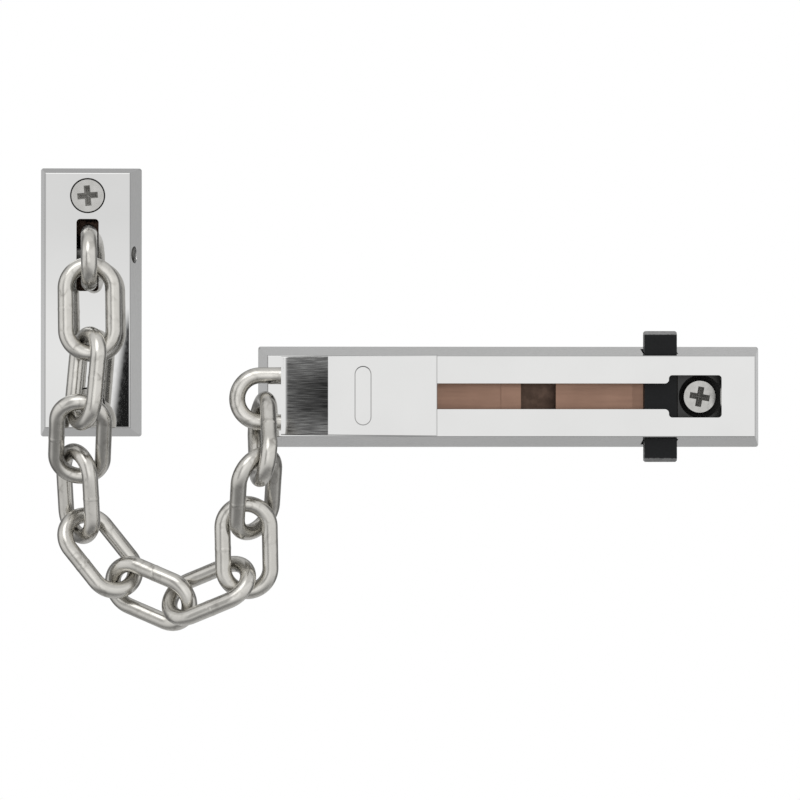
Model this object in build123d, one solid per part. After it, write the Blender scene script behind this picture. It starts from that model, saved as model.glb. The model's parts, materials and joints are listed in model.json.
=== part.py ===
from build123d import *
import math
import os

os.makedirs("parts", exist_ok=True)

# A door security chain: a rail for the door, a slider that runs in it, a chain of welded links
# and a plate for the door frame. All is drawn as seen from the front: x to the right, y up and
# z out of the door. Each piece is turned upright when it is written.

# Clearances
FIT = 0.05
SEAT = 0.02
RUN = 0.25
LINK_GAP = 0.3

# Chain links
LINK_WIRE = 4.7
LINK_LENGTH = 30.4
LINK_WIDTH = 18.4
LINK_END = (LINK_WIDTH - LINK_WIRE) / 2
LINK_HALF = (LINK_LENGTH - LINK_WIDTH) / 2
LINK_INSIDE = LINK_END - LINK_WIRE / 2

# Screws
HEAD_DIAMETER = 9.5
HEAD_RIM = 0.3
SHANK_DIAMETER = 4.6
SHANK_HOLE = 5.2
CORE_DIAMETER = 3.6
TIP_LENGTH = 5.0
TIP_DIAMETER = 0.8
SCREW_GRIP = 26.0
CROSS_LENGTH = 6.0
CROSS_WIDTH = 1.8
CROSS_DEPTH = 2.2
CROSS_TAPER = 20.0
RAIL_TURN = -10.0
PLATE_TURN = 5.0

# Rail
RAIL_LENGTH = 150.0
RAIL_WIDTH = 30.0
RAIL_RISE = 14.0
RAIL_BEVEL = 3.0
RAIL_CORNER = 0.8
RAIL_EDGE = 0.4
RAIL_WALL = 2.6
RAIL_SIDE = 2.2
RAIL_INSET = 18.25
RAIL_SCREWS = RAIL_LENGTH - 2 * RAIL_INSET
BASE_THICKNESS = 0.8
RAIL_TAPER = math.degrees(math.atan2(RAIL_BEVEL, RAIL_RISE))
BOSS_LENGTH = 18.0
BOSS_SHIFT = 2.25
BOSS_RISE = 6.0
SINK_DIAMETER = 12.9
SLOT_WIDTH = 7.6
KEYHOLE_LENGTH = 15.6
KEYHOLE_WIDTH = 12.5
KEYHOLE_CORNER = 1.0
KEYHOLE_FLARE = 1.2
KEYHOLE_X = RAIL_SCREWS / 2 - 2.55
ACCESS_DIAMETER = 11.0

# Release catch
CATCH_WIDTH = 9.6
CATCH_SPAN = 38.8
CATCH_THICKNESS = 4.0
CATCH_CHAMFER = 1.1
CATCH_CORNER = 0.4
CATCH_X = KEYHOLE_X - KEYHOLE_LENGTH / 2 - 2.1
CATCH_TRAVEL = 3.5
NOTCH_ROOM = 0.4

# Backing strip and leaf spring inside the rail
RIB_RISE = 4.6
RIB_LENGTH = 10.0
RIB_REACH = 4.0
STRIP_THICKNESS = 1.0
STRIP_GAP = 2.1
STRIP_INSET = 31.0
STRIP_END = CATCH_X - CATCH_WIDTH / 2 - STRIP_GAP
STRIP_START = STRIP_INSET - RAIL_LENGTH / 2
WINDOW_START = 3.2
WINDOW_LENGTH = 10.4
WINDOW_WIDTH = 10.0
SPRING_THICKNESS = 0.5
SPRING_WIDTH = 14.0
SPRING_LIP = 4.0
SPRING_LAP = 5.9

# Slider
SLIDER_LENGTH = 45.2
SLIDER_INSET = 7.2
SLIDER_LEFT = SLIDER_INSET - RAIL_LENGTH / 2
SLIDER_WIDTH = 23.7
SLIDER_NARROW = 22.8
SLIDER_RISE = 15.0
SLIDER_LAND_RISE = 11.6
SLIDER_LAND = 1.4
SLIDER_RAMP = 12.2
SLIDER_SWEEP = 6.0
SLIDER_EDGE = 0.4
LINK_PLANE = 8.0
SLIT_WIDTH = 20.8
SLIT_DEPTH = 16.4
POST_DIAMETER = 5.0
POST_X = 7.5
POST_BEAR = 30.0
RECESS_LENGTH = 17.2
RECESS_WIDTH = 4.9
RECESS_DEPTH = 0.4
RECESS_TAPER = 35.0
RECESS_X = 23.7
NECK_LENGTH = 14.0
NECK_INSET = 1.0
NECK_TENON = 4.0
FOOT_LENGTH = 14.6
FOOT_WIDTH = 11.8
FOOT_THICKNESS = 3.0

# Frame plate
PLATE_WIDTH = 30.0
PLATE_HEIGHT = 80.0
PLATE_RISE = 14.0
PLATE_BEVEL = 2.5
PLATE_CORNER = 0.8
PLATE_EDGE = 0.4
PLATE_WALL = 3.0
PLATE_SIDE = 2.5
PLATE_INSET = 9.25
PLATE_SCREWS = PLATE_HEIGHT - 2 * PLATE_INSET
PLATE_BOSS = 14.0
PLATE_SINK = 10.4
PLATE_TAPER = math.degrees(math.atan2(PLATE_BEVEL, PLATE_RISE))
PIN_DIAMETER = 5.0
PIN_BORE = 2.6
PIN_SLIT = 0.8
PIN_OUT = 8.6
PIN_DROP = 17.05
PIN_RAISE = PLATE_SCREWS / 2 - PIN_DROP
PIN_BLOCK = 12.0
LINK_SLOT_WIDTH = 6.5
LINK_SLOT_ROOM = 1.4
LINK_SLOT_DROP = 0.4
LINK_SLOT_CORNER = 1.1

# How each link hangs, from the slider to the plate: heading in the front view, lean out of the
# door's plane, and roll about its own length.
HANG = [
    (180, 0, 0),
    (-87, 38, 72),
    (-94, -32, -45),
    (-89, -8, -2),
    (-157, -14, 47),
    (158, -19, -26),
    (129, -6, 31),
    (92, 14, -52),
    (85, 32, 0),
    (85, -3, -59),
    (91, -4, 4),
    (118, -80, 118),
]


def save(name, *solids):
    turned = [Plane.XZ * solid for solid in solids]
    shape = turned[0] if len(turned) == 1 else Compound(children=turned)
    export_step(shape, f"parts/{name}.step")


def block(x0, x1, y0, y1, z0, z1):
    size = Box(x1 - x0, y1 - y0, z1 - z0)
    return Pos((x0 + x1) / 2, (y0 + y1) / 2, (z0 + z1) / 2) * size


def cone_pin(x, y, z, radius):
    """A right-angled cone whose wide end lies at height z."""
    return Pos(x, y, z - radius / 2) * Cone(SEAT, radius, radius)


def casting(length, width, rise, taper, corner):
    return extrude(RectangleRounded(length, width, corner), amount=rise, taper=taper)


def base_sheet(length, width, slope, corner):
    """Sheet that closes a casting's open back, inside its sloping walls."""
    inset = BASE_THICKNESS * slope + FIT
    outline = RectangleRounded(length - 2 * inset, width - 2 * inset, corner)
    return extrude(outline, amount=BASE_THICKNESS)


def screw(x, y, head_top, turn):
    """Countersunk wood screw with a plain shank and a thinner core for the thread."""
    head = HEAD_DIAMETER / 2
    shank = SHANK_DIAMETER / 2
    core = CORE_DIAMETER / 2
    rim = head_top - HEAD_RIM
    half = Polyline(
        (0, head_top),
        (head, head_top),
        (head, rim),
        (shank, rim - (head - shank)),
        (shank, 0),
        (core, 0),
        (core, TIP_LENGTH - SCREW_GRIP),
        (TIP_DIAMETER / 2, -SCREW_GRIP),
        (0, -SCREW_GRIP),
        close=True,
    )
    body = revolve(Plane.XZ * make_face(half), Axis.Z)
    for angle in (turn, turn + 90):
        arm = Rectangle(CROSS_LENGTH, CROSS_WIDTH)
        cut = extrude(arm, amount=-CROSS_DEPTH, taper=CROSS_TAPER)
        body -= Pos(0, 0, head_top) * (Rot(0, 0, angle) * cut)
    return (Pos(x, y, 0) * body).solid()


def screw_hole(x, y, surface, sink):
    """Clearance hole and right-angled seat, open at the surface, and the head's height in it."""
    seat = sink / 2
    head_top = surface - (seat - HEAD_DIAMETER / 2) + HEAD_RIM + FIT
    hole = Pos(x, y, surface / 2) * Cylinder(SHANK_HOLE / 2, surface)
    hole += cone_pin(x, y, surface, seat)
    return hole, head_top


# Rail housing
rail = casting(RAIL_LENGTH, RAIL_WIDTH, RAIL_RISE, RAIL_TAPER, RAIL_CORNER)
rail = fillet(rail.edges().group_by(Axis.Z)[-1], RAIL_EDGE)
base_top = BASE_THICKNESS + SEAT
inner_length = RAIL_LENGTH - 2 * RAIL_SIDE
inner_width = RAIL_WIDTH - 2 * RAIL_SIDE
wall_back = RAIL_RISE - RAIL_WALL
hollow = casting(inner_length, inner_width, wall_back, RAIL_TAPER, RAIL_CORNER)
boss_x = RAIL_SCREWS / 2 + BOSS_SHIFT
for x in (-boss_x, boss_x):
    low, high = x - BOSS_LENGTH / 2, x + BOSS_LENGTH / 2
    hollow -= block(low, high, -RAIL_WIDTH, RAIL_WIDTH, base_top, BOSS_RISE)
rib_inner = inner_width / 2 - RIB_REACH
for x in (STRIP_START + 2, STRIP_END - RIB_LENGTH):
    for side in (-1, 1):
        low, high = sorted((side * rib_inner, side * RAIL_WIDTH))
        hollow -= block(x, x + RIB_LENGTH, low, high, base_top, RIB_RISE)
rail -= hollow

neck_right = SLIDER_LEFT + SLIDER_LENGTH - NECK_INSET
neck_x = neck_right - NECK_LENGTH / 2
slot_left = neck_right - NECK_LENGTH - RUN
keyhole_left = KEYHOLE_X - KEYHOLE_LENGTH / 2
slot_end = KEYHOLE_X
opening = Pos((slot_left + slot_end) / 2, 0) * Rectangle(slot_end - slot_left, SLOT_WIDTH)
keyhole = Pos(KEYHOLE_X, 0) * RectangleRounded(KEYHOLE_LENGTH, KEYHOLE_WIDTH, KEYHOLE_CORNER)
opening += keyhole
flare = opening.vertices().filter_by(
    lambda v: abs(v.X - keyhole_left) < 0.01 and abs(abs(v.Y) - SLOT_WIDTH / 2) < 0.01
)
opening = fillet(flare, KEYHOLE_FLARE)
rail -= Pos(0, 0, wall_back - 1) * extrude(opening, amount=RAIL_WALL + 2)
rail -= Pos(-RAIL_SCREWS / 2, 0, RAIL_RISE) * Cylinder(ACCESS_DIAMETER / 2, 2 * RAIL_WALL + 1)

rail_base = base_sheet(inner_length, inner_width, RAIL_BEVEL / RAIL_RISE, RAIL_CORNER)
rail_heads = []
for x in (-RAIL_SCREWS / 2, RAIL_SCREWS / 2):
    hole, head_top = screw_hole(x, 0, BOSS_RISE, SINK_DIAMETER)
    rail -= hole
    rail_base -= Pos(x, 0) * Cylinder(SHANK_HOLE / 2, RAIL_RISE)
    rail_heads.append((x, head_top))

catch_top = wall_back - FIT
catch_back = catch_top - CATCH_THICKNESS
notch_half = CATCH_WIDTH / 2 + NOTCH_ROOM
notch_back = catch_back - CATCH_TRAVEL - NOTCH_ROOM
for low, high in ((rib_inner, RAIL_WIDTH), (-RAIL_WIDTH, -rib_inner)):
    rail -= block(CATCH_X - notch_half, CATCH_X + notch_half, low, high, notch_back, wall_back)
save("rail_housing", rail.solid())
save("rail_base", rail_base.solid())
save("rail_screws", *[screw(x, 0, top, RAIL_TURN) for x, top in rail_heads])

# Backing strip with its window
strip_top = RIB_RISE + SEAT + STRIP_THICKNESS
strip_half = inner_width / 2 - strip_top * RAIL_BEVEL / RAIL_RISE - RUN
strip = block(STRIP_START, STRIP_END, -strip_half, strip_half, RIB_RISE + SEAT, strip_top)
window_end = WINDOW_START + WINDOW_LENGTH
window_half = WINDOW_WIDTH / 2
strip -= block(WINDOW_START, window_end, -window_half, window_half, 0, RAIL_RISE)
save("backing_strip", strip.solid())

# Leaf spring: its root lies on the strip round the window and its lip bears on the catch
leaf_root = strip_top + SEAT
leaf_lip = catch_back - SEAT - SPRING_THICKNESS
lip_end = CATCH_X + SPRING_LIP / 2
lip_start = CATCH_X - SPRING_LIP / 2
leaf_line = [
    (WINDOW_START - SPRING_LAP, leaf_root),
    (STRIP_END - 1, leaf_root),
    (lip_start, leaf_lip),
    (lip_end, leaf_lip),
]
leaf_edge = leaf_line + [(x, z + SPRING_THICKNESS) for x, z in reversed(leaf_line)]
leaf_face = Plane.XZ * make_face(Polyline(*leaf_edge, close=True))
leaf = extrude(leaf_face, amount=SPRING_WIDTH / 2, both=True)
leaf -= block(WINDOW_START, window_end, -window_half, window_half, 0, RAIL_RISE)
save("catch_spring", leaf.solid())

# Release catch
catch_plan = Pos(CATCH_X, 0) * Rectangle(CATCH_WIDTH, CATCH_SPAN)
catch_plan = chamfer(catch_plan.vertices(), CATCH_CORNER)
catch = Pos(0, 0, catch_back) * extrude(catch_plan, amount=CATCH_THICKNESS)
tab_edges = catch.edges().filter_by(Axis.X).group_by(Axis.Z)[-1]
catch = chamfer(tab_edges, CATCH_CHAMFER)
save("release_catch", catch.solid())

# Slider cover
slider_base = RAIL_RISE + RUN
slider_top = RAIL_RISE + SLIDER_RISE
slider_land = RAIL_RISE + SLIDER_LAND_RISE
slider_right = SLIDER_LEFT + SLIDER_LENGTH
ramp_start = (SLIDER_LEFT + SLIDER_LAND, slider_land)
ramp_end = (SLIDER_LEFT + SLIDER_LAND + SLIDER_RAMP, slider_top)
outline = make_face(
    Polyline(
        ramp_end,
        (slider_right, slider_top),
        (slider_right, slider_base),
        (SLIDER_LEFT, slider_base),
        (SLIDER_LEFT, slider_land),
        ramp_start,
        close=True,
    )
)
hollow_corner = outline.vertices().sort_by_distance(ramp_start)[0]
side_face = Plane.XZ * fillet(hollow_corner, SLIDER_SWEEP)
cover = extrude(side_face, amount=SLIDER_WIDTH, both=True)
plan = make_face(
    Polyline(
        (SLIDER_LEFT, -SLIDER_NARROW / 2),
        (slider_right, -SLIDER_WIDTH / 2),
        (slider_right, SLIDER_WIDTH / 2),
        (SLIDER_LEFT, SLIDER_NARROW / 2),
        close=True,
    )
)
cover &= extrude(plan, amount=slider_top + 1)
rims = cover.edges().filter_by(
    lambda e: e.center().Z > slider_land - 0.01 and e.center().X > SLIDER_LEFT + 0.01
)
cover = fillet(
    rims.filter_by(lambda e: abs(e.center().Y) > 0.01 or e.center().X > slider_right - 0.01),
    SLIDER_EDGE,
)
link_z = RAIL_RISE + LINK_PLANE
slit_half = LINK_WIRE / 2 + LINK_GAP
cover -= block(
    SLIDER_LEFT - 1,
    SLIDER_LEFT + SLIT_DEPTH,
    -SLIT_WIDTH / 2,
    SLIT_WIDTH / 2,
    link_z - slit_half,
    link_z + slit_half,
)
oval = SlotOverall(RECESS_LENGTH, RECESS_WIDTH, rotation=90)
recess = extrude(oval, amount=-RECESS_DEPTH, taper=RECESS_TAPER)
cover -= Pos(SLIDER_LEFT + RECESS_X, 0, slider_top) * recess
post_x = SLIDER_LEFT + POST_X
post_low = slider_base
post_high = link_z + slit_half + (slider_land - link_z - slit_half) / 2
post_mid = Pos(post_x, 0, (post_low + post_high) / 2)
cover -= post_mid * Cylinder(POST_DIAMETER / 2 + SEAT, post_high - post_low + 2 * SEAT)
neck_half = SLOT_WIDTH / 2 - RUN
neck_top = slider_base + NECK_TENON
neck_left = neck_right - NECK_LENGTH
cover -= block(
    neck_left - SEAT,
    neck_right + SEAT,
    -neck_half - SEAT,
    neck_half + SEAT,
    slider_base - 1,
    neck_top + SEAT,
)
save("slider_cover", cover.solid())
save("slider_post", (post_mid * Cylinder(POST_DIAMETER / 2, post_high - post_low)).solid())

# Slider foot
foot_top = wall_back - RUN
foot = block(neck_left, neck_right, -neck_half, neck_half, foot_top - 1, neck_top)
foot_z = foot_top - FOOT_THICKNESS / 2
foot += Pos(neck_x, 0, foot_z) * Box(FOOT_LENGTH, FOOT_WIDTH, FOOT_THICKNESS)
save("slider_foot", foot.solid())

# Chain
ring = SlotOverall(LINK_LENGTH - LINK_WIRE, LINK_WIDTH - LINK_WIRE).face().outer_wire()
section = Plane(origin=ring @ 0, z_dir=ring % 0) * Circle(LINK_WIRE / 2)
link_shape = sweep(section, path=ring).solid()


def directions(heading, lean, roll):
    """Unit vectors along a link and across it."""
    angle = math.radians(heading)
    tilt = math.radians(lean)
    turn = math.radians(roll)
    flat = Vector(math.cos(angle), math.sin(angle), 0)
    normal = Vector(-math.sin(angle), math.cos(angle), 0)
    out = Vector(0, 0, 1)
    along = flat * math.cos(tilt) + out * math.sin(tilt)
    rise = out * math.cos(tilt) - flat * math.sin(tilt)
    return along, normal * math.cos(turn) + rise * math.sin(turn)


def place(centre, along, across):
    return Plane(origin=centre, x_dir=along, z_dir=along.cross(across))


def hook(last, along, across, pull):
    """Centre of a link hung in the last one, pulled until the wires lie a gap apart."""
    centre, last_along, last_across = last
    last_edge = last_across.Z**2
    edge = across.Z**2
    reach = LINK_END * (2 - last_edge - edge) - LINK_WIRE - LINK_GAP
    start = centre + last_along * (LINK_HALF + LINK_END * last_edge)
    spot = start + along * (LINK_HALF + LINK_END * edge) + pull * reach
    last_ring = place(*last) * ring
    for _ in range(80):
        next_ring = place(spot, along, across) * ring
        apart, here, there = last_ring.distance_to_with_closest_points(next_ring)
        short = LINK_WIRE + LINK_GAP - apart
        if short < 0.001:
            break
        spot += (there - here).normalized() * (short + SEAT)
    return spot


def hang_chain(trim):
    """Every link from the slider to the plate, and the pin's centre in the last one."""
    bear = math.radians(POST_BEAR)
    play = LINK_INSIDE - POST_DIAMETER / 2 - LINK_GAP
    first_x = post_x - LINK_HALF - play * math.cos(bear)
    along, across = directions(*HANG[0])
    hung = [(Vector(first_x, -play * math.sin(bear), link_z), along, across)]
    for number, (heading, lean, roll) in enumerate(HANG[1:], start=1):
        free = 3 <= number <= 8
        along, across = directions(heading, lean + trim * free, roll)
        last_along = hung[-1][1]
        pull = (last_along + along).normalized()
        if number == 1:
            pull = along
        if number == len(HANG) - 1:
            pull = last_along
        hung.append((hook(hung[-1], along, across, pull), along, across))
    centre, along, across = hung[-1]
    pin_play = LINK_INSIDE - PIN_DIAMETER / 2 - LINK_GAP
    return hung, centre + along * (LINK_HALF + pin_play)


# The lean of the low links is trimmed until the last link meets the pin's depth in the plate
trim_a, trim_b = 0.0, 1.0
pin_a = hang_chain(trim_a)[1].Z
links, pin = hang_chain(trim_b)
for _ in range(8):
    if abs(pin.Z - PIN_OUT) < 0.01:
        break
    slope = (pin.Z - pin_a) / (trim_b - trim_a)
    trim_a, pin_a = trim_b, pin.Z
    trim_b += (PIN_OUT - pin.Z) / slope
    links, pin = hang_chain(trim_b)
for number, (centre, along, across) in enumerate(reversed(links), start=1):
    save(f"chain_link_{number:02d}", place(centre, along, across) * link_shape)

# Frame plate, set where the chain's last link ends
plate_x = pin.X
plate_y = pin.Y - PIN_RAISE
plate = casting(PLATE_WIDTH, PLATE_HEIGHT, PLATE_RISE, PLATE_TAPER, PLATE_CORNER)
plate = fillet(plate.edges().group_by(Axis.Z)[-1], PLATE_EDGE)
room_width = PLATE_WIDTH - 2 * PLATE_SIDE
room_height = PLATE_HEIGHT - 2 * PLATE_SIDE
room_rise = PLATE_RISE - PLATE_WALL
plate_hollow = casting(room_width, room_height, room_rise, PLATE_TAPER, PLATE_CORNER)
low, high = PIN_RAISE - PIN_BLOCK / 2, PIN_RAISE + PIN_BLOCK / 2
plate_hollow -= block(-PLATE_WIDTH, PLATE_WIDTH, low, high, base_top, PLATE_RISE)
boss_mid = (base_top + PLATE_RISE) / 2
for y in (-PLATE_SCREWS / 2, PLATE_SCREWS / 2):
    plate_hollow -= Pos(0, y, boss_mid) * Cylinder(PLATE_BOSS / 2, PLATE_RISE - base_top)
plate -= plate_hollow
plate_base = base_sheet(room_width, room_height, PLATE_BEVEL / PLATE_RISE, PLATE_CORNER)
plate_heads = []
for y in (-PLATE_SCREWS / 2, PLATE_SCREWS / 2):
    hole, head_top = screw_hole(0, y, PLATE_RISE, PLATE_SINK)
    plate -= hole
    plate_base -= Pos(0, y) * Cylinder(SHANK_HOLE / 2, PLATE_RISE)
    plate_heads.append((y, head_top))
slot_height = LINK_WIDTH + 2 * LINK_SLOT_ROOM
link_slot = RectangleRounded(LINK_SLOT_WIDTH, slot_height, LINK_SLOT_CORNER)
plate -= Pos(0, PIN_RAISE - LINK_SLOT_DROP) * extrude(link_slot, amount=PLATE_RISE + 1)
pin_right = PLATE_WIDTH / 2 - PLATE_BEVEL * PIN_OUT / PLATE_RISE
pin_left = -pin_right + PLATE_SIDE / 3
pin_bed = Pos((pin_left + PLATE_WIDTH) / 2, PIN_RAISE, PIN_OUT) * Rot(0, 90, 0)
plate -= pin_bed * Cylinder(PIN_DIAMETER / 2 + SEAT, PLATE_WIDTH - pin_left)
at_plate = Pos(plate_x, plate_y, 0)
save("frame_plate", (at_plate * plate).solid())
save("frame_base", (at_plate * plate_base).solid())
save("frame_screws", *[at_plate * screw(0, y, top, PLATE_TURN) for y, top in plate_heads])

# Cross pin, a rolled tube with a slit
pin_length = pin_right - pin_left - SEAT
tube = Cylinder(PIN_DIAMETER / 2, pin_length) - Cylinder(PIN_BORE / 2, pin_length)
tube -= Pos(0, PIN_DIAMETER / 2, 0) * Box(PIN_SLIT, PIN_DIAMETER, pin_length)
pin_mid = Pos((pin_left + pin_right + SEAT) / 2, PIN_RAISE, PIN_OUT) * Rot(0, 90, 0)
save("anchor_pin", (at_plate * pin_mid * tube).solid())
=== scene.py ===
import bmesh
import bpy
import json
import math
import numpy as np
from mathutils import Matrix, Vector

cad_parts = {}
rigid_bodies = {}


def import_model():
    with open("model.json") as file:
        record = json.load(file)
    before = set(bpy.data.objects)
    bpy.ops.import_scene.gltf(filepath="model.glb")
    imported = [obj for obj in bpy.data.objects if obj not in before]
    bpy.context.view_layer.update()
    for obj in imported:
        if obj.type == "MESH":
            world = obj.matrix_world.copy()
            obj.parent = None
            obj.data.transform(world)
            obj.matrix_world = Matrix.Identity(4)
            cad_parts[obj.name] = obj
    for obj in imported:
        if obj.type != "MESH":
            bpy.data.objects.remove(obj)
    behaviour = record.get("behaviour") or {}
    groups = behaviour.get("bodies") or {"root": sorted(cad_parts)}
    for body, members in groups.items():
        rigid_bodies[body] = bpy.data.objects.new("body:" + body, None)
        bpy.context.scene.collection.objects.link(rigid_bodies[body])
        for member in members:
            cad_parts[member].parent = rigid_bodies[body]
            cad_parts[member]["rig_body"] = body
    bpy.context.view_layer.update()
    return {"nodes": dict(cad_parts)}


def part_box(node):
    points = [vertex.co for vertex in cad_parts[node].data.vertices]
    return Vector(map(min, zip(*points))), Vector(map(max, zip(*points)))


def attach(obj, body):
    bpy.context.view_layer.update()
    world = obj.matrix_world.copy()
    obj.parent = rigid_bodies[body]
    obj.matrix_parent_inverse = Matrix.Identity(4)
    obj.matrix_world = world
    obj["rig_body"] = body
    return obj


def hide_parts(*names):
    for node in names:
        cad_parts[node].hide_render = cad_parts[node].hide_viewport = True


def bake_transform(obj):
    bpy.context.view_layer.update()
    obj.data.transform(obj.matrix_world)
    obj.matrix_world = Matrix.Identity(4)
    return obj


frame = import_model()
nodes = frame["nodes"]
scene = bpy.context.scene
scene.view_settings.view_transform = "Standard"

# Camera, straight in front of the door, a little left of the middle
EYE = Vector((-0.05652, -0.850, -0.00933))
AIM = Vector((-0.0326, 0.0, -0.00096))
cam_data = bpy.data.cameras.new("camera")
cam_data.sensor_width = 36.0
cam_data.lens = 127.9
camera = bpy.data.objects.new("camera", cam_data)
camera.location = EYE
camera.rotation_euler = (AIM - EYE).to_track_quat("-Z", "Y").to_euler()
scene.collection.objects.link(camera)
scene.camera = camera


# Nodes that the materials and the world are built from
EVEN = (1, 1, 1)
WHITE = (1, 1, 1, 1)
NOISE_LOW = 0.3
NOISE_HIGH = 0.7


def tree_of(owner):
    """The node tree of a material or world, emptied."""
    owner.use_nodes = True
    tree = owner.node_tree
    tree.nodes.clear()
    return tree


def start(name):
    """A new material and its empty node tree."""
    material = bpy.data.materials.new(name)
    return material, tree_of(material)


def add(tree, kind, inputs=None, **settings):
    """A new node, with its inputs linked to sockets or set to values."""
    node = tree.nodes.new(kind)
    for name, value in settings.items():
        setattr(node, name, value)
    for name, value in (inputs or {}).items():
        if isinstance(value, bpy.types.NodeSocket):
            tree.links.new(value, node.inputs[name])
        else:
            node.inputs[name].default_value = value
    return node


def ramp(tree, factor, stops):
    """Colour ramp through (place, value) stops, where a value is a grey or a colour."""
    node = add(tree, "ShaderNodeValToRGB", {"Fac": factor})
    bands = node.color_ramp.elements
    while len(bands) < len(stops):
        bands.new(0.5)
    for band, (place, value) in zip(bands, stops):
        band.position = place
        colour = value if isinstance(value, tuple) else (value, value, value)
        band.color = (*colour, 1.0)
    return node.outputs["Color"]


def spread(tree, grain, low, high):
    """From low to high over the middle part of a noise's range."""
    return ramp(tree, grain, [(NOISE_LOW, low), (NOISE_HIGH, high)])


def grey_ramp(tree, factor, stops):
    """Ramp of plain values."""
    colour = ramp(tree, factor, stops)
    return add(tree, "ShaderNodeRGBToBW", {"Color": colour}).outputs["Val"]


def math_node(tree, operation, first, second=0.0):
    node = add(tree, "ShaderNodeMath", {0: first, 1: second}, operation=operation)
    return node.outputs["Value"]


def times(tree, first, second):
    return math_node(tree, "MULTIPLY", first, second)


def apart(tree, value, middle):
    """Distance of a value from a middle."""
    return math_node(tree, "ABSOLUTE", math_node(tree, "SUBTRACT", value, middle))


def rest_place(tree):
    return add(tree, "ShaderNodeTexCoord").outputs["Object"]


def axes_of(tree):
    return add(tree, "ShaderNodeSeparateXYZ", {"Vector": rest_place(tree)}).outputs


def noise(tree, stretch, scale, detail=4.0):
    """Noise in object coordinates, stretched by a scale for each axis."""
    spot = add(tree, "ShaderNodeMapping", {"Vector": rest_place(tree), "Scale": stretch})
    inputs = {"Vector": spot.outputs["Vector"], "Scale": scale, "Detail": detail}
    return add(tree, "ShaderNodeTexNoise", inputs).outputs["Fac"]


def mix_colour(tree, share, first, second):
    inputs = {0: share, 6: first, 7: second}
    return add(tree, "ShaderNodeMix", inputs, data_type="RGBA").outputs[2]


def mix_value(tree, share, first, second):
    inputs = {0: share, 2: first, 3: second}
    return add(tree, "ShaderNodeMix", inputs, data_type="FLOAT").outputs[0]


def step(tree, value, low, high):
    """Zero at low and one at high, and level past both."""
    inputs = {"Value": value, "From Min": low, "From Max": high}
    return add(tree, "ShaderNodeMapRange", inputs).outputs["Result"]


def bump(tree, height, strength, distance):
    inputs = {"Strength": strength, "Distance": distance, "Height": height}
    return add(tree, "ShaderNodeBump", inputs).outputs["Normal"]


def close(tree, settings):
    """The shader and the output that end a material."""
    shader = add(tree, "ShaderNodeBsdfPrincipled", settings)
    out = add(tree, "ShaderNodeOutputMaterial")
    tree.links.new(shader.outputs["BSDF"], out.inputs["Surface"])


def close_metal(tree, tone, gloss, normal, bare=1.0):
    close(tree, {"Metallic": bare, "Base Color": tone, "Roughness": gloss, "Normal": normal})


# Finishes. Lengths are in metres, and a scale of noise is in waves for each metre.
FINE_RELIEF = 0.0002
DENT_RELIEF = 0.0004
SCORE_RELIEF = 0.0001
CLOUDED_CHROME = ((0.55, 0.55, 0.545), (0.572, 0.572, 0.567))
CHROME_CLOUD = 45.0
CHROME_GRAIN = 900.0
SMUDGE = (0.38, 0.367, 0.34, 1.0)
SMUDGE_WIDTH = 0.08
SHELL = 0.0034
RAIL_WALL = 0.0026
PLATE_WALL = 0.0030
WALL_BLUR = 0.0004
RIM_BLUR = 0.0001
FLANK_START = 0.0002
FLANK_FULL = 0.0006
SEAT_REACH = 0.00517
CROSS_REACH = 0.0032
FILM_START = 0.00005
FILM_FULL = 0.0003
HEAD_HALF = 0.00475
LAND_LENGTH = 0.0011
LAND_BLUR = 0.001
RAMP_LENGTH = 0.0136
RAMP_CORE = 0.3
BRUSHED = (190, 1, 4200)
CATCH_CHAMFER = 0.0011
WEAR_START = 0.0001
WEAR_FULL = 0.0004
WEAR_RAGGED = 0.0004


def plain_metal(name, dark, light, rough, cloud, grain, relief):
    """Metal whose tone, gloss and fine relief all vary."""
    material, tree = start(name)
    tone = spread(tree, noise(tree, EVEN, cloud), dark, light)
    gloss = spread(tree, noise(tree, *grain), *rough)
    stretch, scale, strength = relief
    normal = bump(tree, noise(tree, stretch, scale, 3.0), strength, FINE_RELIEF)
    close_metal(tree, tone, gloss, normal)
    return material


def chain_finish():
    """Nickel, tumbled: slightly dented, clouded and marked by soft dark smudges."""
    material, tree = start("nickel")
    cloud = noise(tree, EVEN, 160.0)
    clean = spread(tree, cloud, (0.55, 0.536, 0.503), (0.63, 0.615, 0.58))
    from_line = apart(tree, noise(tree, EVEN, 260.0, 1.0), 0.5)
    line = step(tree, from_line, SMUDGE_WIDTH, 0.0)
    patch = step(tree, noise(tree, EVEN, 240.0, 2.0), 0.48, 0.70)
    tone = mix_colour(tree, times(tree, line, patch), clean, SMUDGE)
    gloss = spread(tree, noise(tree, EVEN, 300.0), 0.19, 0.26)
    normal = bump(tree, noise(tree, EVEN, 250.0, 0.0), 0.22, DENT_RELIEF)
    close_metal(tree, tone, gloss, normal)
    return material


def from_axis(tree, spot, middle, reach):
    """Distance from the nearer of two screw axes, set apart from a middle along x or z."""
    near_x = math_node(tree, "SUBTRACT", apart(tree, spot["X"], middle[0]), reach[0])
    near_z = math_node(tree, "SUBTRACT", apart(tree, spot["Z"], middle[1]), reach[1])
    square_x = math_node(tree, "POWER", near_x, 2.0)
    square_z = math_node(tree, "POWER", near_z, 2.0)
    return math_node(tree, "SQRT", math_node(tree, "ADD", square_x, square_z))


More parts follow.
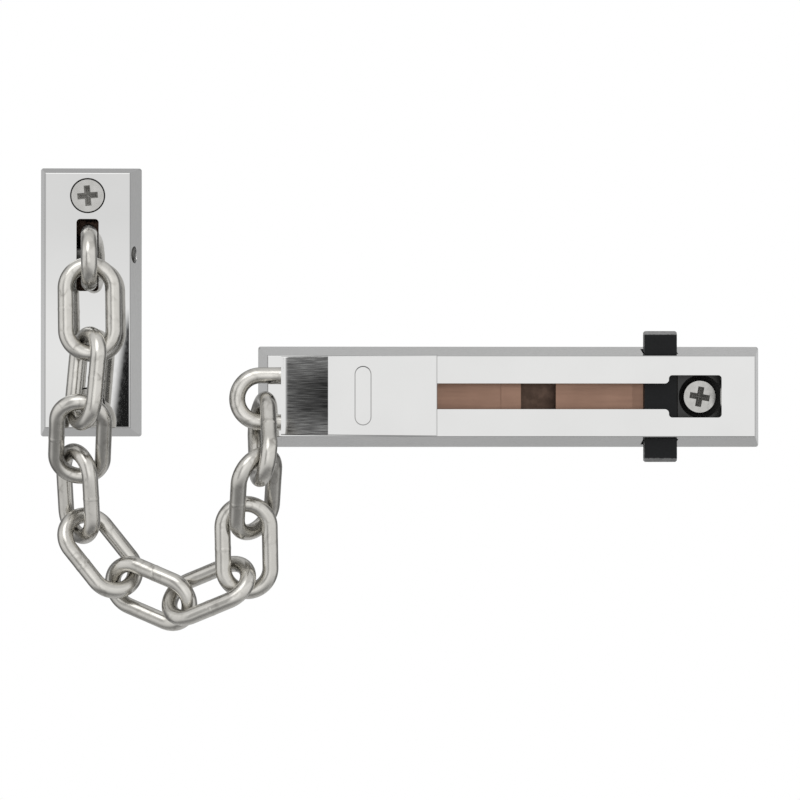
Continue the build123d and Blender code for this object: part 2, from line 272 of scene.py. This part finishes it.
def casting_finish(name, middle, half_x, half_z, face, depth, front, reach):
    """Chrome, polished in front and satin on the flanks, and dull and dark in hollows and seats.

    The hollow lies behind depth and the screws' seats behind front, and face is the front face.
    """
    material, tree = start(name)
    spot = axes_of(tree)
    within_x = math_node(tree, "LESS_THAN", apart(tree, spot["X"], middle[0]), half_x)
    within_z = math_node(tree, "LESS_THAN", apart(tree, spot["Z"], middle[1]), half_z)
    behind = step(tree, spot["Y"], depth - WALL_BLUR, depth + WALL_BLUR)
    hollow = times(tree, times(tree, within_x, within_z), behind)
    seat = math_node(tree, "LESS_THAN", from_axis(tree, spot, middle, reach), SEAT_REACH)
    sunk = times(tree, seat, step(tree, spot["Y"], front, front + RIM_BLUR))
    inside = math_node(tree, "MAXIMUM", hollow, sunk)
    cloud = noise(tree, EVEN, CHROME_CLOUD)
    bright = spread(tree, cloud, *CLOUDED_CHROME)
    dull = spread(tree, cloud, (0.045, 0.045, 0.045), (0.09, 0.09, 0.088))
    tone = mix_colour(tree, inside, bright, dull)
    grain = noise(tree, EVEN, CHROME_GRAIN)
    polish = spread(tree, grain, 0.008, 0.02)
    satin = spread(tree, grain, 0.10, 0.15)
    flank = step(tree, spot["Y"], face + FLANK_START, face + FLANK_FULL)
    gloss = mix_value(tree, inside, mix_value(tree, flank, polish, satin), 0.4)
    normal = bump(tree, noise(tree, EVEN, 200.0, 2.0), 0.001, FINE_RELIEF)
    close_metal(tree, tone, gloss, normal)
    return material


def screw_finish(name, middle, reach, top):
    """Plain steel, with a dull film inside the cross recess."""
    material, tree = start(name)
    spot = axes_of(tree)
    within = math_node(tree, "LESS_THAN", from_axis(tree, spot, middle, reach), CROSS_REACH)
    deep = step(tree, spot["Y"], top + FILM_START, top + FILM_FULL)
    filmed = times(tree, within, deep)
    cloud = noise(tree, EVEN, 300.0)
    light = spread(tree, cloud, (0.38, 0.375, 0.36), (0.45, 0.445, 0.43))
    film = spread(tree, cloud, (0.27, 0.266, 0.25), (0.36, 0.355, 0.335))
    tone = mix_colour(tree, filmed, light, film)
    grain = spread(tree, noise(tree, EVEN, 800.0), 0.18, 0.3)
    gloss = mix_value(tree, filmed, grain, 0.6)
    bare = mix_value(tree, filmed, 1.0, 0.1)
    normal = bump(tree, noise(tree, EVEN, 1500.0, 3.0), 0.04, FINE_RELIEF)
    close_metal(tree, tone, gloss, normal, bare)
    return material


def slider_finish(left, ramp_end, half):
    """Polished chrome, with a brushed ramp whose colour holds a painted reflection, darker
    towards the ramp's top and darkest half way across.
    """
    material, tree = start("slider")
    spot = axes_of(tree)
    land_end = left + LAND_LENGTH
    past_land = step(tree, spot["X"], land_end, land_end + LAND_BLUR)
    before_top = math_node(tree, "LESS_THAN", spot["X"], ramp_end)
    on_ramp = times(tree, past_land, before_top)
    bright = spread(tree, noise(tree, EVEN, CHROME_CLOUD), *CLOUDED_CHROME)
    lines = noise(tree, BRUSHED, 1.0, 6.0)
    # Painted reflection: the ramp's tone darkens from its low end to its top end, standing in
    # for the dark studio seen in a curved ramp
    upward = step(tree, spot["X"], left, ramp_end)
    deep = ramp(tree, upward, [(0.1, (0.08, 0.08, 0.079)), (0.9, (0.022, 0.022, 0.022))])
    pale = ramp(tree, upward, [(0.1, (0.26, 0.26, 0.255)), (0.9, (0.105, 0.105, 0.104))])
    # Painted reflection: lighter towards the ramp's upper and lower edges, darkest half way
    # across
    painted_lighter_edges = step(tree, math_node(tree, "ABSOLUTE", spot["Z"]), RAMP_CORE * half, half)
    deep = mix_colour(tree, painted_lighter_edges, deep, (0.17, 0.17, 0.168, 1.0))
    pale = mix_colour(tree, painted_lighter_edges, pale, (0.46, 0.46, 0.455, 1.0))
    # Brush lines laid over the painted reflection
    brush_lines_and_painted_reflection = mix_colour(tree, step(tree, lines, 0.36, 0.66), deep, pale)
    tone = mix_colour(tree, on_ramp, bright, brush_lines_and_painted_reflection)
    polish = spread(tree, noise(tree, EVEN, CHROME_GRAIN), 0.03, 0.06)
    brushed = spread(tree, lines, 0.1, 0.3)
    gloss = mix_value(tree, on_ramp, polish, brushed)
    normal = bump(tree, times(tree, lines, on_ramp), 0.3, SCORE_RELIEF)
    close_metal(tree, tone, gloss, normal)
    return material


def catch_finish(bare):
    """Black coat, worn to steel past a height above and below the middle."""
    material, tree = start("black")
    spot = axes_of(tree)
    grain = noise(tree, EVEN, 1400.0)
    edge = math_node(tree, "ABSOLUTE", spot["Z"])
    ragged = math_node(tree, "ADD", edge, times(tree, grain, WEAR_RAGGED))
    worn = step(tree, ragged, bare + WEAR_START, bare + WEAR_FULL)
    coat = spread(tree, grain, (0.004, 0.0045, 0.005), (0.009, 0.0095, 0.0105))
    steel_tone = spread(tree, grain, (0.26, 0.26, 0.26), (0.35, 0.35, 0.35))
    settings = {
        "Metallic": worn,
        "Base Color": mix_colour(tree, worn, coat, steel_tone),
        "Roughness": spread(tree, grain, 0.34, 0.48),
        "Normal": bump(tree, grain, 0.12, SCORE_RELIEF),
        "Specular IOR Level": 0.15,
    }
    close(tree, settings)
    return material


nickel = chain_finish()
steel = plain_metal(
    "steel",
    dark=(0.45, 0.445, 0.435),
    light=(0.56, 0.555, 0.545),
    rough=(0.2, 0.34),
    cloud=300.0,
    grain=(EVEN, 800.0),
    relief=(EVEN, 1800.0, 0.1),
)
dark_steel = plain_metal(
    "dark_steel",
    dark=(0.085, 0.084, 0.08),
    light=(0.12, 0.118, 0.113),
    rough=(0.34, 0.46),
    cloud=300.0,
    grain=(EVEN, 800.0),
    relief=(EVEN, 1800.0, 0.1),
)
ROLLED = (60, 900, 900)
bronze = plain_metal(
    "bronze",
    dark=(0.24, 0.147, 0.107),
    light=(0.275, 0.17, 0.125),
    rough=(0.32, 0.4),
    cloud=90.0,
    grain=(ROLLED, 1.0),
    relief=(ROLLED, 1.5, 0.02),
)
# Painted shade: the base plates get the strip's bronze painted about half as bright, as if in
# the shadow behind the rail and the plate
bronze_painted_shade = plain_metal(
    "bronze_painted_shade",
    dark=(0.10, 0.066, 0.05),
    light=(0.14, 0.094, 0.073),
    rough=(0.4, 0.55),
    cloud=120.0,
    grain=(EVEN, 500.0),
    relief=(EVEN, 900.0, 0.05),
)
rail_low, rail_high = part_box("rail_housing")
plate_low, plate_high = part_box("frame_plate")
rail_mid = (rail_low + rail_high) / 2
plate_mid = (plate_low + plate_high) / 2
rail_half = (rail_high - rail_low) / 2
plate_half = (plate_high - plate_low) / 2
rail_screws_low, rail_screws_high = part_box("rail_screws")
plate_screws_low, plate_screws_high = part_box("frame_screws")
rail_reach = ((rail_screws_high.x - rail_screws_low.x) / 2 - HEAD_HALF, 0.0)
plate_reach = (0.0, (plate_screws_high.z - plate_screws_low.z) / 2 - HEAD_HALF)
rail_chrome = casting_finish(
    "rail_chrome",
    middle=(rail_mid.x, rail_mid.z),
    half_x=rail_half.x - SHELL,
    half_z=rail_half.z - SHELL,
    face=rail_low.y,
    depth=rail_low.y + RAIL_WALL,
    front=rail_low.y + RAIL_WALL,
    reach=rail_reach,
)
plate_chrome = casting_finish(
    "plate_chrome",
    middle=(plate_mid.x, plate_mid.z),
    half_x=plate_half.x - SHELL,
    half_z=plate_half.z - SHELL,
    face=plate_low.y,
    depth=plate_low.y + PLATE_WALL,
    front=plate_low.y,
    reach=plate_reach,
)
rail_steel = screw_finish(
    "rail_steel", (rail_mid.x, rail_mid.z), rail_reach, rail_screws_low.y
)
plate_steel = screw_finish(
    "plate_steel", (plate_mid.x, plate_mid.z), plate_reach, plate_screws_low.y
)
slider_low, slider_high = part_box("slider_cover")
catch_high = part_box("release_catch")[1]

FINISH = {
    "rail_housing": rail_chrome,
    "frame_plate": plate_chrome,
    "slider_cover": slider_finish(slider_low.x, slider_low.x + RAMP_LENGTH, slider_high.z),
    "slider_foot": steel,
    "slider_post": steel,
    "anchor_pin": dark_steel,
    "rail_screws": rail_steel,
    "frame_screws": plate_steel,
    "rail_base": bronze_painted_shade,
    "frame_base": bronze_painted_shade,
    "backing_strip": bronze,
    "catch_spring": bronze,
    "release_catch": catch_finish(catch_high.z - CATCH_CHAMFER),
}
for name, node in nodes.items():
    node.data.materials.clear()
    node.data.materials.append(FINISH.get(name, nickel))


# Pieces that the scene adds
def new_piece(name, points, faces, material, body, smooth):
    """A new mesh that rides on a body."""
    mesh = bpy.data.meshes.new(name)
    mesh.from_pydata(points, [], faces)
    mesh.validate()
    for face in mesh.polygons:
        face.use_smooth = smooth
    mesh.materials.append(material)
    piece = bpy.data.objects.new(name, mesh)
    scene.collection.objects.link(piece)
    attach(piece, body)
    return piece


def tube_faces(rings, count):
    """Faces of closed rings of points joined one to the next."""
    faces = []
    for ring in range(rings - 1):
        for k in range(count):
            here, there = ring * count, (ring + 1) * count
            after = (k + 1) % count
            faces.append((here + k, here + after, there + after, there + k))
    return faces


# Weld bead round one straight side of each link
WIRE = 0.0047
BEAD_HALF = 0.0011
BEAD_RISE = 0.0001
BEAD_SINK = 0.00002
BEAD_DRIFT = 0.00018
BEAD_LEVEL = 0.75
BEAD_WAVE = 0.25
BEAD_TURN = 1.7
BEAD_ROOT = 0.0004
BEAD_ROOT_SHARE = 0.8
BEAD_AROUND = 40
BEAD_RINGS = 12
LINK_SIDES = {
    "chain_link_01": (0, -1, 0),
    "chain_link_02": (-1, 0, 0),
    "chain_link_03": (0, -1, 0),
    "chain_link_04": (-1, 0, 0),
    "chain_link_05": (0, -1, 0),
    "chain_link_06": (-0.5, 0, -1),
    "chain_link_07": (0, -1, 0.5),
    "chain_link_08": (0, -1, -0.5),
    "chain_link_09": (-1, 0, 0),
    "chain_link_10": (0, -1, 0),
    "chain_link_11": (0, -1, 0),
    "chain_link_12": (0, 0, 1),
}


def link_axes(node):
    """Centre, long axis and cross axis of a link, with its half width, from its own points."""
    points = np.array([v.co for v in node.data.vertices], float)
    middle = points.mean(0)
    turn = np.linalg.svd(points - middle, full_matrices=False)[2]
    local = (points - middle) @ turn.T
    spans = (local.min(0) + local.max(0)) / 2
    centre = middle + spans @ turn
    half_width = (local[:, 1].max() - local[:, 1].min()) / 2
    return Vector(centre), Vector(turn[0]), Vector(turn[1]), float(half_width)


def weld_bead(number, name, side):
    """An uneven low ring on the strand that lies to the given side, closed under the surface."""
    centre, along, across, half_width = link_axes(nodes[name])
    if across.dot(Vector(side)) < 0:
        across = -across
    third = along.cross(across)
    strand = centre + across * (half_width - WIRE / 2)
    angles = [2 * math.pi * k / BEAD_AROUND for k in range(BEAD_AROUND)]
    ways = [across * math.cos(angle) + third * math.sin(angle) for angle in angles]
    points = []
    for ring in range(BEAD_RINGS + 1):
        share = ring / BEAD_RINGS * 2 - 1
        for angle, way in zip(angles, ways):
            wave = math.sin(2 * angle + number) * math.cos(3 * angle - number)
            level = BEAD_LEVEL + BEAD_WAVE * wave
            swell = BEAD_RISE * level * math.cos(share * math.pi / 2) ** 2
            radius = WIRE / 2 - BEAD_SINK + swell
            drift = BEAD_DRIFT * math.sin(angle + BEAD_TURN * number)
            points.append(strand + way * radius + along * (share * BEAD_HALF + drift))
    for end in (-1, 1):
        for way in ways:
            root = way * (WIRE / 2 - BEAD_ROOT)
            points.append(strand + root + along * (end * BEAD_HALF * BEAD_ROOT_SHARE))
    faces = tube_faces(BEAD_RINGS + 1, BEAD_AROUND)
    top = BEAD_RINGS * BEAD_AROUND
    first, last = top + BEAD_AROUND, top + 2 * BEAD_AROUND
    for k in range(BEAD_AROUND):
        after = (k + 1) % BEAD_AROUND
        faces.append((first + k, first + after, after, k))
        faces.append((top + k, top + after, last + after, last + k))
        faces.append((last + k, last + after, first + after, first + k))
    body = nodes[name]["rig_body"]
    new_piece(f"weld_bead_{number:02d}", points, faces, nickel, body, smooth=True)


for number, (name, side) in enumerate(LINK_SIDES.items(), start=1):
    weld_bead(number, name, side)


# Leaf spring, cut into short lengths
LEAF_CUTS = 12
LIP_START = 0.0423
WELD_REACH = 1e-6


def bending_leaf():
    """The spring's own mesh, from the end of the strip to the lip in short lengths."""
    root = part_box("backing_strip")[1].x
    work = bmesh.new()
    work.from_mesh(nodes["catch_spring"].data)
    bmesh.ops.remove_doubles(work, verts=work.verts, dist=WELD_REACH)
    for k in range(LEAF_CUTS):
        place = root + (LIP_START - root) * k / LEAF_CUTS
        geometry = work.verts[:] + work.edges[:] + work.faces[:]
        bmesh.ops.bisect_plane(work, geom=geometry, plane_co=(place, 0, 0), plane_no=(1, 0, 0))
    mesh = bpy.data.meshes.new("catch_leaf")
    work.to_mesh(mesh)
    work.free()
    for face in mesh.polygons:
        face.use_smooth = False
    mesh.materials.clear()
    mesh.materials.append(bronze)
    leaf = bpy.data.objects.new("catch_leaf", mesh)
    scene.collection.objects.link(leaf)
    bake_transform(leaf)
    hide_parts("catch_spring")


bending_leaf()


# Screw threads behind the door's surface
CORE = 0.0018
CREST = 0.0026
PITCH = 0.0021
THREAD_START = 0.0012
THREAD_AROUND = 28
ROOT_HALF = 0.00052
CREST_HALF = 0.00007
ROOT_SINK = 0.00025
RUN_IN = 0.8
RUN_OUT = 0.6
LEAST_CREST = 0.02
TIP_START = 0.021
TIP_END = 0.0256
TIP_ROOM = 0.0004
TIP_SLIMMING = 0.78
TIP_CREST = 0.35
CORNERS = 4


def thread(name, spots):
    """Helical ridges round the screws at the given places, slimmer towards the tips."""
    points, faces = [], []
    turns = (TIP_END - THREAD_START) / PITCH
    count = int(turns * THREAD_AROUND)
    for x, z in spots:
        first = len(points)
        for k in range(count + 1):
            angle = 2 * math.pi * k / THREAD_AROUND
            y = THREAD_START + PITCH * k / THREAD_AROUND
            slim = 1.0
            if y > TIP_START:
                slim = 1.0 - TIP_SLIMMING * (y - TIP_START) / (TIP_END + TIP_ROOM - TIP_START)
            run_in = k / (RUN_IN * THREAD_AROUND)
            run_out = (count - k) / (RUN_OUT * THREAD_AROUND)
            grow = max(min(1.0, run_in, run_out), LEAST_CREST)
            core = CORE * slim - ROOT_SINK
            rise = (CREST - CORE) * grow * (TIP_CREST + (1 - TIP_CREST) * slim)
            crest = CORE * slim + rise
            section = (
                (core, -ROOT_HALF),
                (crest, -CREST_HALF),
                (crest, CREST_HALF),
                (core, ROOT_HALF),
            )
            for radius, shift in section:
                across, up = radius * math.cos(angle), radius * math.sin(angle)
                points.append((x + across, y + shift, z + up))
        for face in tube_faces(count + 1, CORNERS):
            faces.append(tuple(first + corner for corner in face))
        last = first + CORNERS * count
        faces.append((first + 3, first + 2, first + 1, first))
        faces.append((last, last + 1, last + 2, last + 3))
    new_piece(name, points, faces, steel, "base", smooth=False)


def screw_spots(node):
    """Where the two screws of a node stand, from the ends of its box."""
    low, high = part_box(node)
    middle = (low + high) / 2
    if high.x - low.x > high.z - low.z:
        return [(low.x + HEAD_HALF, middle.z), (high.x - HEAD_HALF, middle.z)]
    return [(middle.x, low.z + HEAD_HALF), (middle.x, high.z - HEAD_HALF)]


thread("rail_screw_threads", screw_spots("rail_screws"))
thread("frame_screw_threads", screw_spots("frame_screws"))


# Light: a pale studio with a bright front, a dark card at the left and darker sides behind.
# Angles are in degrees: from straight ahead, to the right of it, and up.
# A band is given by its low end, its high end and its soft edge.
GLOW_BY_ANGLE = [
    (0, 1.0),
    (13, 1.0),
    (20, 0.80),
    (90, 0.74),
    (112, 0.17),
    (148, 0.17),
    (155, 0.48),
    (160, 0.40),
    (178, 0.62),
]
LEVEL_BY_HEIGHT = [
    (-1.0, 0.16),
    (-0.8, 0.2),
    (-0.5, 0.53),
    (-0.2, 0.63),
    (0.0, 0.675),
    (0.4, 0.725),
    (0.6, 0.58),
    (1.0, 0.58),
]
WHOLE_LEVEL = 2.0
CEILING_START = 28
CEILING_FULL = 48
CEILING_GLOW = 0.58
CARD_SIDE = (-40, -23, 5)
CARD_UP = (-20, 20, 8)
CARD_DIM = 0.5
STREAK_SIDE = (-4.10, -3.2, 0.14)
STREAK_UP = (-0.8, 2.0, 0.4)
STREAK_SLANT = 0.125
STREAK_DIM = 0.985
SHELF_UP = (4.2, 6.0, 2.4)
SHELF_DIM = 0.14
RIDGE_UP = (10, 19, 3)
RIDGE_DIM = 0.32
BEHIND_START = 0.83
BEHIND_FULL = 0.85
BACKDROP_START = 0.955
BACKDROP_FULL = 0.975


def band(tree, value, low, high, soft):
    """One between low and high, in degrees, with soft ends outside them."""
    rise = step(tree, value, math.radians(low - soft), math.radians(low))
    fall = step(tree, value, math.radians(high + soft), math.radians(high))
    return times(tree, rise, fall)


def dim(tree, glow, mask, share):
    """Glow less a share of itself where the mask is one."""
    keep = math_node(tree, "SUBTRACT", 1.0, times(tree, mask, share))
    return times(tree, glow, keep)


def studio_world():
    """White to the camera, and to metal straight behind the object; a lit studio otherwise."""
    world = bpy.data.worlds.new("studio")
    scene.world = world
    tree = tree_of(world)
    way = add(tree, "ShaderNodeTexCoord").outputs["Generated"]
    parts = add(tree, "ShaderNodeSeparateXYZ", {"Vector": way}).outputs
    ahead = times(tree, parts["Y"], -1.0)
    share = math_node(tree, "DIVIDE", math_node(tree, "ARCCOSINE", ahead), math.pi)
    side = math_node(tree, "ARCTAN2", parts["X"], ahead)
    up = math_node(tree, "ARCSINE", parts["Z"])

    glow = grey_ramp(tree, share, [(angle / 180, value) for angle, value in GLOW_BY_ANGLE])
    ceiling = step(tree, up, math.radians(CEILING_START), math.radians(CEILING_FULL))
    glow = math_node(tree, "MAXIMUM", glow, times(tree, ceiling, CEILING_GLOW))
    card = times(tree, band(tree, side, *CARD_SIDE), band(tree, up, *CARD_UP))
    glow = dim(tree, glow, card, CARD_DIM)
    slant = math_node(tree, "SUBTRACT", side, times(tree, up, STREAK_SLANT))
    streak = times(tree, band(tree, slant, *STREAK_SIDE), band(tree, up, *STREAK_UP))
    glow = dim(tree, glow, streak, STREAK_DIM)
    glow = dim(tree, glow, band(tree, up, *SHELF_UP), SHELF_DIM)
    behind = step(tree, share, BEHIND_START, BEHIND_FULL)
    glow = dim(tree, glow, times(tree, behind, band(tree, up, *RIDGE_UP)), RIDGE_DIM)
    tall = step(tree, parts["Z"], -1.0, 1.0)
    lean = grey_ramp(tree, tall, [((z + 1) / 2, value) for z, value in LEVEL_BY_HEIGHT])
    strength = times(tree, times(tree, glow, lean), WHOLE_LEVEL)

    ray = add(tree, "ShaderNodeLightPath").outputs
    backdrop = step(tree, share, BACKDROP_START, BACKDROP_FULL)
    mirrored = times(tree, ray["Is Glossy Ray"], backdrop)
    seen = math_node(tree, "MAXIMUM", ray["Is Camera Ray"], ray["Is Transmission Ray"])
    seen = math_node(tree, "MAXIMUM", seen, mirrored)
    shown = add(tree, "ShaderNodeBackground", {"Color": WHITE, "Strength": 1.0})
    lit = add(tree, "ShaderNodeBackground", {"Color": WHITE, "Strength": strength})
    sides = {0: seen, 1: lit.outputs["Background"], 2: shown.outputs["Background"]}
    either = add(tree, "ShaderNodeMixShader", sides)
    out = add(tree, "ShaderNodeOutputWorld")
    tree.links.new(either.outputs["Shader"], out.inputs["Surface"])


studio_world()

# Floor, well below the door's hardware, fading out to the white round it
FLOOR = -0.26
REACH = 0.7
FLOOR_MIDDLE = (-0.03, 0.2, FLOOR)
FLOOR_CLEAR = 0.34
FLOOR_SOLID = 0.16
floor_mesh = bpy.data.meshes.new("floor")
corners = [(x * REACH, y * REACH, FLOOR) for x, y in ((-1, -1), (1, -1), (1, 1), (-1, 1))]
floor_mesh.from_pydata(corners, [], [(0, 1, 2, 3)])
floor = bpy.data.objects.new("floor", floor_mesh)
scene.collection.objects.link(floor)


def floor_finish():
    """Pale matt floor, clear away from its middle."""
    material, tree = start("floor")
    cloud = noise(tree, EVEN, 9.0, 3.0)
    tone = spread(tree, cloud, (0.80, 0.80, 0.80), (0.83, 0.83, 0.83))
    ends = {0: rest_place(tree), 1: FLOOR_MIDDLE}
    away = add(tree, "ShaderNodeVectorMath", ends, operation="DISTANCE").outputs["Value"]
    fade = step(tree, away, FLOOR_CLEAR, FLOOR_SOLID)
    close(tree, {"Base Color": tone, "Roughness": 0.7, "Alpha": fade})
    return material


floor_mesh.materials.append(floor_finish())

# Soft lamp, above and to the left
LAMP_SPOT = Vector((-0.35, -0.75, 0.75))
LAMP_WIDTH = 0.7
LAMP_WATTS = 1.5
lamp_data = bpy.data.lights.new("soft_key", "AREA")
lamp_data.shape = "DISK"
lamp_data.size = LAMP_WIDTH
lamp_data.energy = LAMP_WATTS
lamp = bpy.data.objects.new("soft_key", lamp_data)
lamp.location = LAMP_SPOT
lamp.rotation_euler = (AIM - LAMP_SPOT).to_track_quat("-Z", "Y").to_euler()
scene.collection.objects.link(lamp)
